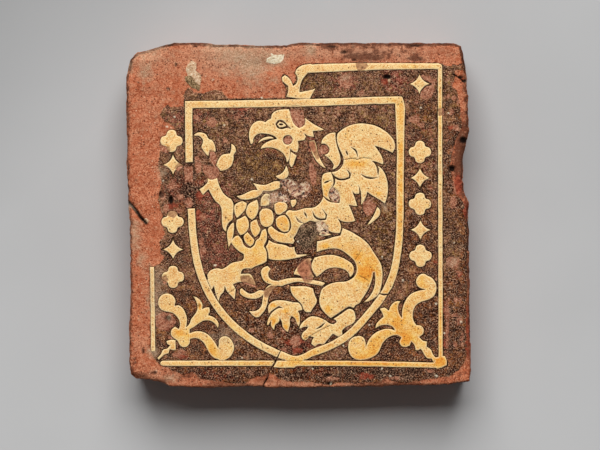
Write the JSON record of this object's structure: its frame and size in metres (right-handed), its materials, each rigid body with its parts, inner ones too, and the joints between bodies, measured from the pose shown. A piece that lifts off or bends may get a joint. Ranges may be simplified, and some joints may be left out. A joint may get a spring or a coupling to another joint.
{
  "type": "inlaid floor tile",
  "caption": "Worn red earthenware floor tile with a stamped griffin on a shield, inlaid in white clay under lead glaze.",
  "frame": {"origin": "middle of the tile's bounding box, on the plane of its base", "axes": "+Z out of the decorated face, +Y towards the top of the design, +X to the design's right as seen"},
  "size_m": [0.1296, 0.13, 0.025],
  "materials": {
    "red_clay": "worn gloss",
    "white_clay": "worn gloss"
  },
  "bodies": {
    "root": {"tile_body": "red_clay", "frame_line_inlay": "white_clay", "shield_line_inlay": "white_clay", "left_fleuron_inlay": "white_clay", "right_fleuron_inlay": "white_clay", "griffin_head_inlay": "white_clay", "griffin_breast_inlay": "white_clay", "griffin_foreleg_inlay": "white_clay", "griffin_wing_inlay": "white_clay", "griffin_haunch_inlay": "white_clay", "griffin_hind_leg_inlay": "white_clay", "griffin_tail_inlay": "white_clay", "band_ornament_inlay": "white_clay"}
  },
  "joints": []
}
